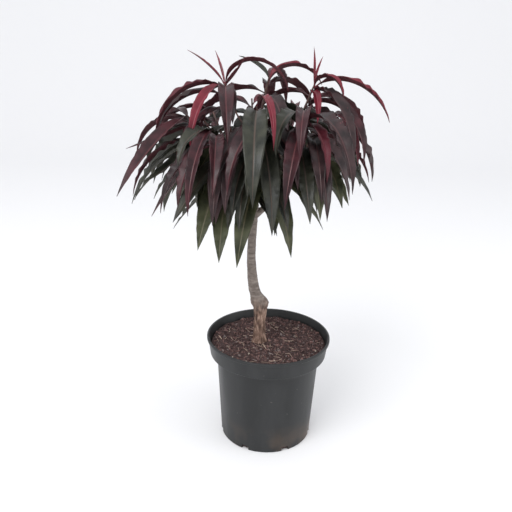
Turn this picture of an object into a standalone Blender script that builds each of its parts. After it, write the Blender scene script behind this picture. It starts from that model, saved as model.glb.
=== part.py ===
"""A red-leaf dwarf peach tree standing in a round nursery pot, in metres, with +Z up.

The pot's underside is centred on the origin and the photographed side faces -Y.
The trunk rises off centre from the compost, swells at its graft and leans to a
crown of drooping leaves. Eleven boughs leave its head, and each carries one mass:
a stem with side twigs and long leaves, fused into one solid.
"""

import math
import random

import bmesh
import bpy
from mathutils import Matrix, Vector
from mathutils.bvhtree import BVHTree

# Pot
LIP_RADIUS = 0.110
POT_HEIGHT = 0.194
LIP_HEIGHT = 0.005
BAND_HEIGHT = 0.032
BAND_RADIUS = 0.1040
BODY_TOP_RADIUS = 0.092
BASE_RADIUS = 0.0825
POT_WALL = 0.0022
POT_FLOOR = 0.0030
DRAIN_COUNT = 7
DRAIN_WIDTH = 0.013
DRAIN_HEIGHT = 0.008
DRAIN_FIRST_ANGLE = 192
POT_SIDES = 40

# Compost
SOIL_DROP = 0.013
SOIL_LUMP = 0.0020
SOIL_RINGS = 5
SOIL_SIDES = 24
SOIL_FLAT_RADIUS = 0.022

GAP = 0.0003
SOIL_LEVEL = POT_HEIGHT - SOIL_DROP

# Trunk: height, sideways place and radius where it bends or swells
TRUNK_BENDS = (
    (SOIL_LEVEL + GAP, -0.0160, 0.0106),
    (0.2080, -0.0166, 0.0099),
    (0.2400, -0.0160, 0.0106),
    (0.2600, -0.0192, 0.0112),
    (0.2800, -0.0270, 0.0098),
    (0.3080, -0.0316, 0.0085),
    (0.3480, -0.0338, 0.0072),
    (0.4050, -0.0320, 0.0070),
    (0.4740, -0.0285, 0.0066),
)
GRAFT_HEIGHT = 0.2580
GRAFT_REACH = 0.0100
GRAFT_SWELL = 0.0044
GRAFT_SIDE = 0.0012
FLARE = 0.0046
FLARE_REACH = 0.011
FLARE_LOBES = 5
TRUNK_RINGS = 24
TRUNK_SIDES = 10

# Boughs and the stems that go on from them
BOUGH_RADIUS = 0.0046
BOUGH_TIP_RADIUS = 0.0034
BOUGH_RINGS = 6
BOUGH_SIDES = 6
STEM_TIP_RADIUS = 0.0013
STEM_RINGS = 6
STEM_SIDES = 5
TWIG_RADIUS = 0.0019
TWIG_SIDES = 3

# Each shoot: height of its fork, the bough's tip, the stem's tip, leaves, twigs, seed
SHOOTS = {
    "left": (0.467, (-0.062, -0.010, 0.520), (-0.080, -0.022, 0.630), 13, 1, 11),
    "far_left": (0.414, (-0.086, -0.020, 0.492), (-0.138, -0.036, 0.584), 11, 2, 12),
    "front_left": (0.444, (-0.062, -0.046, 0.488), (-0.094, -0.092, 0.572), 11, 2, 13),
    "front": (0.428, (-0.024, -0.050, 0.498), (-0.030, -0.084, 0.604), 10, 2, 14),
    "front_right": (0.448, (0.014, -0.046, 0.490), (0.042, -0.084, 0.584), 11, 2, 15),
    "right": (0.469, (0.014, -0.004, 0.520), (0.058, -0.006, 0.630), 13, 1, 16),
    "far_right": (0.416, (0.036, 0.012, 0.494), (0.084, 0.012, 0.582), 12, 2, 17),
    "back_right": (0.450, (0.004, 0.042, 0.490), (0.036, 0.088, 0.584), 13, 2, 18),
    "back": (0.432, (-0.034, 0.048, 0.498), (-0.040, 0.098, 0.596), 14, 2, 19),
    "back_left": (0.452, (-0.066, 0.038, 0.490), (-0.108, 0.082, 0.580), 13, 2, 20),
    "top": (0.470, (-0.026, 0.004, 0.546), (-0.012, 0.006, 0.640), 15, 1, 21),
}

# Leaf shape, in parts of its length or width
LEAF_STATIONS = (0.0, 0.10, 0.32, 0.58, 0.82)
BLADE_START = 0.05
BLADE_RISE_POWER = 0.62
BLADE_TIP_POWER = 1.05
STALK_WIDTH = 0.0017
LEAF_THICKNESS = 0.0105
LEAST_THICKNESS = 0.0011
YOUNG_FOLD = 38
OLD_FOLD = 14
DROOP_POWER = 0.8
PATH_STEPS = 18

# Crown
CROWN_CENTRE = (-0.044, -0.006)
CROWN_RADIUS = 0.212
CROWN_FLOOR = 0.334
SKIRT_RISE = 0.125
SKIRT_POWER = 1.4
CROWN_TOP = 0.684
CLEARANCE = 0.0010
FREE_PART = 0.30
TRIES = 16
JOINED_BY_MANIFOLD = ("back",)

# The leaves that draw the crown's outline: shoot, place along it, compass angle,
# rise at the root, fall at the tip, length, width, age from new (0) to old (1)
LEADING_LEAVES = (
    ("left", 0.99, 152, 50, 22, 0.085, 0.007, 0.00),
    ("left", 0.99, 120, 62, 46, 0.060, 0.006, 0.00),
    ("left", 0.96, 354, 96, -80, 0.142, 0.016, 0.05),
    ("left", 0.98, 340, 42, 60, 0.050, 0.011, 0.12),
    ("left", 0.97, 240, 14, -88, 0.138, 0.022, 0.10),
    ("left", 0.95, 203, 30, -88, 0.162, 0.025, 0.25),
    ("left", 0.88, 284, 38, -86, 0.088, 0.020, 0.45),
    ("far_left", 0.86, 173, -26, -18, 0.116, 0.020, 0.50),
    ("far_left", 0.99, 238, -16, -44, 0.186, 0.030, 0.35),
    ("far_left", 0.65, 232, -32, -14, 0.136, 0.024, 0.75),
    ("front_left", 0.90, 209, -40, -54, 0.152, 0.024, 0.45),
    ("front_left", 0.99, 256, 6, -80, 0.165, 0.024, 0.20),
    ("front_left", 0.80, 226, 60, -80, 0.112, 0.028, 0.70),
    ("front_left", 0.55, 236, -20, -50, 0.140, 0.030, 0.85),
    ("front_left", 0.38, 250, -26, -54, 0.158, 0.034, 0.90),
    ("front_left", 0.20, 262, -26, -60, 0.160, 0.034, 0.95),
    ("front", 0.92, 268, 26, -86, 0.205, 0.036, 0.70),
    ("front", 0.80, 284, -24, -70, 0.185, 0.034, 0.66),
    ("front", 0.16, 256, -20, -74, 0.176, 0.034, 0.95),
    ("front", 0.30, 296, -22, -70, 0.172, 0.032, 0.90),
    ("front", 0.99, 286, 56, -88, 0.140, 0.014, 0.10),
    ("top", 0.99, 150, 50, 10, 0.064, 0.016, 0.60),
    ("top", 0.88, 20, 76, -60, 0.118, 0.020, 0.14),
    ("right", 0.99, 86, 64, 46, 0.070, 0.005, 0.00),
    ("right", 0.99, 58, 76, 40, 0.052, 0.005, 0.00),
    ("right", 0.98, 318, 74, -88, 0.084, 0.015, 0.05),
    ("right", 0.97, 341, 40, -68, 0.150, 0.020, 0.12),
    ("right", 0.90, 280, 30, -80, 0.086, 0.016, 0.08),
    ("right", 0.72, 318, 42, -88, 0.170, 0.030, 0.35),
    ("far_right", 0.96, 334, 0, -86, 0.138, 0.030, 0.40),
    ("far_right", 0.90, 350, -36, -74, 0.118, 0.024, 0.70),
    ("far_right", 0.55, 318, -38, -54, 0.124, 0.028, 0.85),
    ("front_right", 0.98, 294, 42, -86, 0.186, 0.030, 0.40),
    ("front_right", 0.94, 316, -10, -74, 0.136, 0.028, 0.50),
    ("front_right", 0.92, 240, 74, -88, 0.136, 0.028, 0.70),
    ("front_right", 0.96, 262, 70, -88, 0.142, 0.024, 0.25),
    ("front_right", 0.78, 255, 18, -87, 0.130, 0.028, 0.60),
    ("front_right", 0.62, 291, 0, -76, 0.136, 0.030, 0.95),
    ("back_right", 0.15, 298, -25, -42, 0.140, 0.020, 0.85),
)


def smooth_between(rows, height):
    """Values beside the first column of rows at this height, on a smooth curve through them."""
    last = len(rows) - 2
    i = min(last, max(0, sum(row[0] <= height for row in rows[1:])))
    before, here, there, after = (rows[max(0, min(last + 1, k))] for k in range(i - 1, i + 3))
    span = there[0] - here[0]
    t = min(1.0, max(0.0, (height - here[0]) / span))
    values = []
    for column in range(1, len(here)):
        start_slope = (there[column] - before[column]) / (there[0] - before[0]) * span
        end_slope = (after[column] - here[column]) / (after[0] - here[0]) * span
        a = 2 * here[column] - 2 * there[column] + start_slope + end_slope
        b = 3 * there[column] - 3 * here[column] - 2 * start_slope - end_slope
        values.append(((a * t + b) * t + start_slope) * t + here[column])
    return values


def bezier(points, t):
    """The place at t on the quadratic curve through three control points."""
    start, middle, end = points
    return start * (1 - t) ** 2 + middle * (2 * t * (1 - t)) + end * t * t


def bezier_direction(points, t):
    start, middle, end = points
    return ((middle - start) * (1 - t) + (end - middle) * t).normalized()


def trunk_centre(height):
    return Vector((smooth_between(TRUNK_BENDS, height)[0], 0.0, height))


def trunk_radius(height, angle):
    """The trunk's radius, with its graft and the lobes of its root flare."""
    radius = smooth_between(TRUNK_BENDS, height)[1]
    graft = math.exp(-(((height - GRAFT_HEIGHT) / GRAFT_REACH) ** 2))
    foot = math.exp(-(height - SOIL_LEVEL) / FLARE_REACH)
    lobes = 0.55 + 0.45 * math.cos(FLARE_LOBES * angle + 0.7)
    return radius + graft * (GRAFT_SWELL + GRAFT_SIDE * math.cos(angle)) + foot * FLARE * lobes


def bough_curve(shoot):
    """Control points from the trunk's axis to the bough's tip."""
    fork_height, tip, _, _, _, _ = SHOOTS[shoot]
    start, end = trunk_centre(fork_height), Vector(tip)
    middle = start.lerp(end, 0.62)
    middle.z = start.z + 0.30 * (end.z - start.z)
    return start, middle, end


def stem_curve(shoot):
    """Control points of the stem that goes on from the bough's tip."""
    bough = bough_curve(shoot)
    onward = bezier_direction(bough, 1.0)
    start, end = bough[2] + onward * GAP, Vector(SHOOTS[shoot][2])
    return start, start + onward * 0.4 * (end - start).length, end


def stem_radius(place):
    return BOUGH_TIP_RADIUS + (STEM_TIP_RADIUS - BOUGH_TIP_RADIUS) * place


def outward_angle(shoot):
    """The compass angle, in degrees, from the trunk's head to the shoot's tip."""
    tip = Vector(SHOOTS[shoot][2])
    head = trunk_centre(SHOOTS[shoot][0])
    return math.degrees(math.atan2(tip.y - head.y, tip.x - head.x))


def leaf_path(root, compass, rise, fall, length):
    """Points along a leaf's midrib, which leaves its root at rise and droops to fall."""
    angle = math.radians(compass)
    points = [root.copy()]
    for step in range(PATH_STEPS):
        part = (step + 0.5) / PATH_STEPS
        slope = math.radians(rise + (fall - rise) * part**DROOP_POWER)
        forward = Vector((math.cos(angle) * math.cos(slope), math.sin(angle) * math.cos(slope), math.sin(slope)))
        points.append(points[-1] + forward * length / PATH_STEPS)
    return points


def blade_width(part):
    """The blade's width at this part of the leaf's length, 1 where it is widest."""
    t = (part - BLADE_START) / (1 - BLADE_START)
    if t <= 0 or t >= 1:
        return 0.0
    peak = BLADE_RISE_POWER / (BLADE_RISE_POWER + BLADE_TIP_POWER)
    widest = peak**BLADE_RISE_POWER * (1 - peak) ** BLADE_TIP_POWER
    return t**BLADE_RISE_POWER * (1 - t) ** BLADE_TIP_POWER / widest


def leaf_shape(leaf, margin=0.0):
    """Corners and faces of one leaf: three-sided rings, edges folded up and a keel, and a pointed tip."""
    path, width, age, roll = leaf["path"], leaf["width"], leaf["age"], leaf["roll"]
    thickness = max(LEAST_THICKNESS, leaf["length"] * LEAF_THICKNESS) + margin
    fold = math.radians(YOUNG_FOLD + (OLD_FOLD - YOUNG_FOLD) * age)
    flat = Vector((-math.sin(leaf["compass"]), math.cos(leaf["compass"]), 0.0))
    corners, faces = [], []
    for part in LEAF_STATIONS:
        place = part * PATH_STEPS
        low = min(PATH_STEPS - 1, int(place))
        forward = (path[low + 1] - path[low]).normalized()
        centre = path[low].lerp(path[low + 1], place - low)
        side = Matrix.Rotation(roll * min(1.0, part * 3), 3, forward) @ flat
        above = forward.cross(side)
        half = max(STALK_WIDTH, width * blade_width(part)) / 2 + margin
        open_part = min(1.0, part * 6)
        edge = side * half * math.cos(fold * open_part)
        lift = above * half * math.sin(fold * open_part)
        keel = thickness if part else thickness * 0.8
        corners += [centre + edge + lift, centre - edge + lift, centre - above * keel]
    for ring in range(len(LEAF_STATIONS) - 1):
        for corner in range(3):
            a, b = ring * 3 + corner, ring * 3 + (corner + 1) % 3
            faces.append((a, b, b + 3, a + 3))
    last = len(corners) - 3
    corners.append(path[-1])
    faces += [(last + k, last + (k + 1) % 3, last + 3) for k in range(3)]
    faces.append((2, 1, 0))
    return corners, faces


def limb_shape(centres, radii, sides, start_angle=0.0):
    """Corners and faces of a limb: a ring of the given radius round each centre, square to the limb."""
    corners, faces = [], []
    forward = (centres[1] - centres[0]).normalized()
    side = forward.cross(Vector((0, 1, 0)) if abs(forward.y) < 0.8 else Vector((1, 0, 0))).normalized()
    for i, centre in enumerate(centres):
        ahead = centres[min(i + 1, len(centres) - 1)] - centres[max(i - 1, 0)]
        forward = ahead.normalized()
        side = (side - forward * side.dot(forward)).normalized()
        other = forward.cross(side)
        for k in range(sides):
            angle = math.tau * k / sides + start_angle
            radius = radii[i](angle) if callable(radii[i]) else radii[i]
            corners.append(centre + (side * math.cos(angle) + other * math.sin(angle)) * radius)
    for i in range(len(centres) - 1):
        for k in range(sides):
            a, b = i * sides + k, i * sides + (k + 1) % sides
            faces.append((a, b, b + sides, a + sides))
    faces.append(tuple(reversed(range(sides))))
    faces.append(tuple(range(len(corners) - sides, len(corners))))
    return corners, faces


def trunk_shape(margin=0.0, sides=TRUNK_SIDES):
    """The trunk in level rings, from its flat foot to a rounded head."""
    foot, head = TRUNK_BENDS[0][0], TRUNK_BENDS[-1][0]
    heights = [foot + (head - foot) * i / TRUNK_RINGS for i in range(TRUNK_RINGS + 1)]
    corners, faces = [], []
    for height in heights:
        centre = trunk_centre(height)
        for k in range(sides):
            angle = math.tau * k / sides
            radius = trunk_radius(height, angle) + margin
            corners.append(centre + Vector((math.cos(angle), math.sin(angle), 0)) * radius)
    for step, shrink in ((0.0035, 0.85), (0.0060, 0.45)):
        centre = trunk_centre(head) + Vector((0, 0, step + margin))
        for k in range(sides):
            angle = math.tau * k / sides
            radius = (trunk_radius(head, angle) + margin) * shrink
            corners.append(centre + Vector((math.cos(angle), math.sin(angle), 0)) * radius)
    for i in range(len(corners) // sides - 1):
        for k in range(sides):
            a, b = i * sides + k, i * sides + (k + 1) % sides
            faces.append((a, b, b + sides, a + sides))
    faces.append(tuple(reversed(range(sides))))
    faces.append(tuple(range(len(corners) - sides, len(corners))))
    return corners, faces


def bough_shape(shoot):
    curve = bough_curve(shoot)
    parts = [i / (BOUGH_RINGS - 1) for i in range(BOUGH_RINGS)]
    radii = [BOUGH_RADIUS + (BOUGH_TIP_RADIUS - BOUGH_RADIUS) * part**0.7 for part in parts]
    return limb_shape([bezier(curve, part) for part in parts], radii, BOUGH_SIDES)


def stem_shape(shoot):
    curve = stem_curve(shoot)
    parts = [i / (STEM_RINGS - 1) for i in range(STEM_RINGS)]
    return limb_shape([bezier(curve, part) for part in parts], [stem_radius(part) for part in parts], STEM_SIDES)


def twigs_of(shoot):
    """Side twigs of a stem, by a seeded rule: each starts in the stem and turns up as it leaves it."""
    count, seed = SHOOTS[shoot][4], SHOOTS[shoot][5]
    draw = random.Random(seed)
    curve = stem_curve(shoot)
    twigs = []
    for i in range(count):
        place = 0.16 + 0.34 * i + draw.uniform(0.0, 0.08)
        turn = (62 if i % 2 else -62) + draw.uniform(-12, 12)
        angle = math.radians(outward_angle(shoot) + turn)
        length = draw.uniform(0.034, 0.050)
        start = bezier(curve, place)
        middle = start + Vector((math.cos(angle), math.sin(angle), 0.25)) * length * 0.5
        end = start + Vector((math.cos(angle), math.sin(angle), 0.9)) * length * 0.72
        twigs.append((start, middle, end))
    return twigs


def twig_shape(twig):
    parts = [i / 3 for i in range(4)]
    radii = [TWIG_RADIUS + (STEM_TIP_RADIUS - TWIG_RADIUS) * part for part in parts]
    return limb_shape([bezier(twig, part) for part in parts], radii, TWIG_SIDES)


def make_leaf(root, compass, rise, fall, length, width, age, roll=0.0):
    return {
        "path": leaf_path(root, compass, rise, fall, length),
        "compass": math.radians(compass),
        "length": length,
        "width": width,
        "age": age,
        "roll": roll,
    }


def leaf_plan(shoot):
    """The leaves that the seeded rule would grow on one shoot, lowest first: root and drooping habit."""
    _, _, _, count, _, seed = SHOOTS[shoot]
    draw = random.Random(seed + 100)
    curve = stem_curve(shoot)
    outward = outward_angle(shoot)
    plan = []
    for i in range(count):
        place = 0.06 + 0.90 * (i + draw.uniform(0.2, 0.8)) / count
        turn = ((i * 137.5 + seed * 40) % 360 - 180) * 0.80
        plan.append((bezier(curve, place), outward + turn, place))
    for twig in twigs_of(shoot):
        for i in range(5):
            place = 0.25 + 0.72 * i / 4
            side = math.degrees(math.atan2(twig[2].y - twig[0].y, twig[2].x - twig[0].x))
            turn = ((i * 137.5 + seed * 25) % 360 - 180) * 0.60
            plan.append((bezier(twig, place), side + turn, 0.20 + 0.62 * place))
    return plan, draw


def grown_leaf(root, compass, place, draw):
    """One leaf by the rule: old leaves low on a stem hang from the root, young ones rise and then arch."""
    age = min(1.0, max(0.16, 1.16 - 0.92 * place + draw.uniform(-0.10, 0.10)))
    rise = 50 - 68 * age + draw.uniform(-12, 12)
    fall = -86 + 22 * age**2 + draw.uniform(-3, 12)
    size = 1.0 - 0.30 * max(0.0, 0.30 - age) / 0.30
    length = draw.uniform(0.138, 0.174) * size
    width = length * (0.150 + 0.055 * age) * draw.uniform(0.92, 1.1)
    return make_leaf(root, compass, rise, fall, length, width, age, math.radians(draw.uniform(-14, 14)))


def tree_of(shape):
    corners, faces = shape
    return BVHTree.FromPolygons([tuple(c) for c in corners], faces)


def free_shape(leaf, margin):
    """The part of a leaf that stands free of its own stem."""
    corners, faces = leaf_shape(leaf, margin)
    first = next(k for k, part in enumerate(LEAF_STATIONS) if part >= FREE_PART - 0.05)
    kept = [face for face in faces if min(face) >= first * 3]
    return corners, kept


def within_crown(leaf):
    for point in leaf["path"]:
        reach = math.hypot(point.x - CROWN_CENTRE[0], point.y - CROWN_CENTRE[1])
        floor = CROWN_FLOOR + SKIRT_RISE * (reach / CROWN_RADIUS) ** SKIRT_POWER
        if reach > CROWN_RADIUS or not floor < point.z < CROWN_TOP:
            return False
    return True


def grow_leaves():
    """Every shoot's leaves: the leading ones first, then those of the rule, each kept only where it is clear."""
    limbs = [tree_of(trunk_shape(CLEARANCE))]
    limbs += [tree_of(bough_shape(shoot)) for shoot in SHOOTS]
    stems = {shoot: [tree_of(stem_shape(shoot))] + [tree_of(twig_shape(t)) for t in twigs_of(shoot)] for shoot in SHOOTS}
    leaves = {shoot: [] for shoot in SHOOTS}
    whole = {shoot: [] for shoot in SHOOTS}
    free = {shoot: [] for shoot in SHOOTS}

    def clear(shoot, leaf):
        shape = tree_of(leaf_shape(leaf, CLEARANCE))
        if any(shape.overlap(limb) for limb in limbs):
            return False
        for other in SHOOTS:
            if other != shoot and any(shape.overlap(tree) for tree in stems[other] + whole[other]):
                return False
        outer = tree_of(free_shape(leaf, 0.0))
        return not any(outer.overlap(tree) for tree in free[shoot] + stems[shoot])

    def keep(shoot, leaf):
        leaves[shoot].append(leaf)
        whole[shoot].append(tree_of(leaf_shape(leaf)))
        free[shoot].append(tree_of(free_shape(leaf, 0.0)))

    for shoot, place, compass, rise, fall, length, width, age in LEADING_LEAVES:
        root = bezier(stem_curve(shoot), place)
        for turn in (0, 4, -4, 8, -8, 12, -12):
            leaf = make_leaf(root, compass + turn, rise + turn / 2, fall, length, width, age)
            if clear(shoot, leaf):
                keep(shoot, leaf)
                break
    plans = {shoot: leaf_plan(shoot) for shoot in SHOOTS}
    for turn_of in range(max(len(plan) for plan, _ in plans.values())):
        for shoot, (plan, draw) in plans.items():
            if turn_of >= len(plan):
                continue
            root, compass, place = plan[turn_of]
            for attempt in range(TRIES):
                swing = attempt * 9 * (1 if attempt % 2 else -1)
                leaf = grown_leaf(root, compass + swing, place, draw)
                if within_crown(leaf) and clear(shoot, leaf):
                    keep(shoot, leaf)
                    break
    return leaves


def material(name, colour, roughness, metallic=0.0):
    made = bpy.data.materials.new(name)
    made.use_nodes = True
    shader = made.node_tree.nodes["Principled BSDF"]
    shader.inputs["Base Color"].default_value = (*colour, 1.0)
    shader.inputs["Roughness"].default_value = roughness
    shader.inputs["Metallic"].default_value = metallic
    return made


def add_object(name, shape, finish, collection=None):
    corners, faces = shape
    mesh = bpy.data.meshes.new(name)
    mesh.from_pydata([tuple(c) for c in corners], [], faces)
    mesh.materials.append(finish)
    made = bpy.data.objects.new(name, mesh)
    (collection or bpy.context.scene.collection).objects.link(made)
    return made


def face_outward(made):
    work = bmesh.new()
    work.from_mesh(made.data)
    bmesh.ops.recalc_face_normals(work, faces=work.faces)
    work.to_mesh(made.data)
    work.free()


def shade_round(made, angle=40):
    made.data.shade_smooth()
    made.data.set_sharp_from_angle(angle=math.radians(angle))


def turned(profile, sides):
    """Corners and faces of a closed outline of (radius, height) turned about +Z; radius 0 is on the axis."""
    corners, faces, rings = [], [], []
    for radius, height in profile:
        if radius == 0:
            rings.append([len(corners)] * sides)
            corners.append(Vector((0, 0, height)))
            continue
        rings.append(list(range(len(corners), len(corners) + sides)))
        for k in range(sides):
            angle = math.tau * k / sides
            corners.append(Vector((radius * math.cos(angle), radius * math.sin(angle), height)))
    for here, there in zip(rings, rings[1:]):
        for k in range(sides):
            n = (k + 1) % sides
            face = [here[k], here[n], there[n], there[k]]
            faces.append(tuple(dict.fromkeys(face)))
    return corners, faces


def apply_modifiers(made):
    bpy.context.view_layer.update()
    graph = bpy.context.evaluated_depsgraph_get()
    finished = bpy.data.meshes.new_from_object(made.evaluated_get(graph))
    made.modifiers.clear()
    made.data = finished


def build_pot(finish):
    band_foot = POT_HEIGHT - BAND_HEIGHT
    lip_foot = POT_HEIGHT - LIP_HEIGHT
    lip_inner = LIP_RADIUS - POT_WALL - 0.0016
    profile = [
        (0, 0),
        (BASE_RADIUS - 0.0015, 0),
        (BASE_RADIUS, 0.0015),
        (BODY_TOP_RADIUS, band_foot),
        (BAND_RADIUS - 0.0008, band_foot),
        (BAND_RADIUS, band_foot + 0.0008),
        (LIP_RADIUS - 0.0022, lip_foot),
        (LIP_RADIUS, lip_foot + 0.0008),
        (LIP_RADIUS, POT_HEIGHT - 0.0010),
        (LIP_RADIUS - 0.0010, POT_HEIGHT),
        (lip_inner, POT_HEIGHT - 0.0004),
        (BAND_RADIUS - POT_WALL, band_foot + POT_WALL + 0.0008),
        (BODY_TOP_RADIUS - POT_WALL, band_foot + POT_WALL),
        (BASE_RADIUS - POT_WALL, POT_FLOOR),
        (0, POT_FLOOR),
    ]
    pot = add_object("pot", turned(profile, POT_SIDES), finish)
    face_outward(pot)
    drains = bpy.data.collections.new("drain_cutters")
    bpy.context.scene.collection.children.link(drains)
    for k in range(DRAIN_COUNT):
        angle = math.radians(DRAIN_FIRST_ANGLE) + math.tau * k / DRAIN_COUNT
        cutter = add_object(f"drain_cutter_{k}", box_shape(0.016, DRAIN_WIDTH, DRAIN_HEIGHT * 2), finish, drains)
        cutter.location = (math.cos(angle) * BASE_RADIUS, math.sin(angle) * BASE_RADIUS, 0)
        cutter.rotation_euler.z = angle
        face_outward(cutter)
    cut = pot.modifiers.new("drains", "BOOLEAN")
    cut.operation = "DIFFERENCE"
    cut.operand_type = "COLLECTION"
    cut.collection = drains
    apply_modifiers(pot)
    remove_collection(drains)
    shade_round(pot)
    return pot


def box_shape(length, width, height):
    x, y, z = length / 2, width / 2, height / 2
    corners = [Vector((i, j, k)) for k in (-z, z) for j in (-y, y) for i in (-x, x)]
    faces = [(0, 2, 3, 1), (4, 5, 7, 6), (0, 1, 5, 4), (2, 6, 7, 3), (0, 4, 6, 2), (1, 3, 7, 5)]
    return corners, faces


def remove_collection(collection):
    for made in list(collection.objects):
        bpy.data.objects.remove(made, do_unlink=True)
    bpy.data.collections.remove(collection)


def build_soil(finish):
    """The compost: it fills the pot 0.3 mm clear and its top is lumpy, except where the trunk stands."""
    band_foot = POT_HEIGHT - BAND_HEIGHT
    slope = (LIP_RADIUS - 0.0022 - BAND_RADIUS) / (BAND_HEIGHT - LIP_HEIGHT)
    top_radius = BAND_RADIUS - POT_WALL - 2 * GAP + slope * (SOIL_LEVEL - band_foot - POT_WALL) * 0.8
    profile = [
        (0, POT_FLOOR + GAP),
        (BASE_RADIUS - POT_WALL - 0.0006, POT_FLOOR + GAP),
        (BODY_TOP_RADIUS - POT_WALL - 0.0004, band_foot + POT_WALL + GAP),
        (BAND_RADIUS - POT_WALL - 0.0006, band_foot + POT_WALL + 0.0008 + GAP),
        (top_radius, SOIL_LEVEL - 0.001),
    ]
    centre = trunk_centre(TRUNK_BENDS[0][0])
    draw = random.Random(5)
    for ring in range(SOIL_RINGS - 1, 0, -1):
        profile.append((top_radius * ring / SOIL_RINGS, SOIL_LEVEL))
    profile.append((0, SOIL_LEVEL))
    corners, faces = turned(profile, SOIL_SIDES)
    for corner in corners:
        if corner.z < SOIL_LEVEL - 0.0005:
            continue
        if math.hypot(corner.x - centre.x, corner.y - centre.y) > SOIL_FLAT_RADIUS:
            corner.z += draw.uniform(-1, 0.6) * SOIL_LUMP
    soil = add_object("compost", (corners, faces), finish)
    face_outward(soil)
    shade_round(soil, 60)
    return soil


def build_trunk(finish):
    trunk = add_object("trunk", trunk_shape(), finish)
    face_outward(trunk)
    shade_round(trunk)
    return trunk


def build_bough(shoot, finish):
    """A bough from the trunk's side to where it enters its mass; its root follows the bark 0.3 mm clear."""
    bough = add_object(f"bough_{shoot}", bough_shape(shoot), finish)
    face_outward(bough)
    cutter = add_object(f"bough_cutter_{shoot}", trunk_shape(GAP + 0.0001), finish)
    cutter.hide_render = True
    cutter.display_type = "WIRE"
    face_outward(cutter)
    cut = bough.modifiers.new("root", "BOOLEAN")
    cut.operation = "DIFFERENCE"
    cut.object = cutter
    apply_modifiers(bough)
    bpy.data.objects.remove(cutter, do_unlink=True)
    shade_round(bough)
    return bough


def keep_outer_shell(made):
    """Drops the scraps and sealed hollows that fusing leaves, keeping the largest shell."""
    work = bmesh.new()
    work.from_mesh(made.data)
    bmesh.ops.remove_doubles(work, verts=work.verts, dist=0.000002)
    bmesh.ops.dissolve_degenerate(work, edges=work.edges, dist=0.000002)
    unseen = set(work.verts)
    shells = []
    while unseen:
        reached, front = set(), [next(iter(unseen))]
        while front:
            vert = front.pop()
            if vert in reached:
                continue
            reached.add(vert)
            front += [edge.other_vert(vert) for edge in vert.link_edges]
        unseen -= reached
        shells.append(reached)
    shells.sort(key=len)
    for scrap in shells[:-1]:
        bmesh.ops.delete(work, geom=list(scrap), context="VERTS")
    work.to_mesh(made.data)
    work.free()


def build_mass(shoot, leaves, finish):
    """One mass of foliage: stem, side twigs and leaves fused by one union."""
    mass = add_object(f"foliage_{shoot}", stem_shape(shoot), finish)
    face_outward(mass)
    pieces = bpy.data.collections.new(f"pieces_{shoot}")
    bpy.context.scene.collection.children.link(pieces)
    shapes = [twig_shape(twig) for twig in twigs_of(shoot)] + [leaf_shape(leaf) for leaf in leaves]
    for k, shape in enumerate(shapes):
        face_outward(add_object(f"piece_{shoot}_{k}", shape, finish, pieces))
    join = mass.modifiers.new("join", "BOOLEAN")
    join.operation = "UNION"
    join.operand_type = "COLLECTION"
    join.collection = pieces
    if shoot in JOINED_BY_MANIFOLD:
        join.solver = "MANIFOLD"
    apply_modifiers(mass)
    remove_collection(pieces)
    keep_outer_shell(mass)
    shade_round(mass, 30)
    return mass


def main():
    for made in list(bpy.data.objects):
        bpy.data.objects.remove(made, do_unlink=True)
    plastic = material("pot_plastic", (0.020, 0.021, 0.022), 0.42)
    compost = material("compost", (0.060, 0.036, 0.034), 0.95)
    bark = material("bark", (0.150, 0.115, 0.095), 0.80)
    build_pot(plastic)
    build_soil(compost)
    build_trunk(bark)
    leaves = grow_leaves()
    for shoot in SHOOTS:
        build_bough(shoot, bark)
        average = sum(leaf["age"] for leaf in leaves[shoot]) / max(1, len(leaves[shoot]))
        red, green = Vector((0.130, 0.022, 0.032)), Vector((0.045, 0.050, 0.034))
        build_mass(shoot, leaves[shoot], material(f"leaves_{shoot}", red.lerp(green, average), 0.45))


if __name__ == "__main__":
    main()
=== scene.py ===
"""The finished look of a red-leaf dwarf peach tree in a nursery pot, in metres, with +Z up.

The growth rule below is the one that shaped the solids, so each fine leaf, twig and
limb lies where its solid does. The pot and the compost get finer meshes too.
"""

import math
import random

import bmesh
import bpy
import numpy as np
from mathutils import Matrix, Vector, noise
from mathutils.bvhtree import BVHTree


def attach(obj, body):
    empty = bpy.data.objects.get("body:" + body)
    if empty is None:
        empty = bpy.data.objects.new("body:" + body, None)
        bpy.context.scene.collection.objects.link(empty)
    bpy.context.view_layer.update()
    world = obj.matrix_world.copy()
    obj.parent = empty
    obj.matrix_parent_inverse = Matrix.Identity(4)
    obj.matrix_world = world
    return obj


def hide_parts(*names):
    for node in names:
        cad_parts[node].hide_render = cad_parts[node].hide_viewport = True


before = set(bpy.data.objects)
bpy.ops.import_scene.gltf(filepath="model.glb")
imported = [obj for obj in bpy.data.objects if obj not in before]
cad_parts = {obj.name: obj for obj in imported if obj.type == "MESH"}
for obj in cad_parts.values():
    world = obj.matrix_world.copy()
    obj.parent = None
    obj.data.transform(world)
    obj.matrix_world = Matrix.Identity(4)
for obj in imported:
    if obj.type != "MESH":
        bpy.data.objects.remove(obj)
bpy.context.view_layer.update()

# Pot
LIP_RADIUS = 0.110
POT_HEIGHT = 0.194
LIP_HEIGHT = 0.005
BAND_HEIGHT = 0.032
BAND_RADIUS = 0.1040
BODY_TOP_RADIUS = 0.092
BASE_RADIUS = 0.0825
POT_WALL = 0.0022
POT_FLOOR = 0.0030
DRAIN_COUNT = 7
DRAIN_WIDTH = 0.013
DRAIN_HEIGHT = 0.008
DRAIN_LENGTH = 0.016
DRAIN_FIRST_ANGLE = 192

# Compost, a little below the lip and clear of the pot
SOIL_DROP = 0.013
GAP = 0.0003
SOIL_LEVEL = POT_HEIGHT - SOIL_DROP

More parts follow.
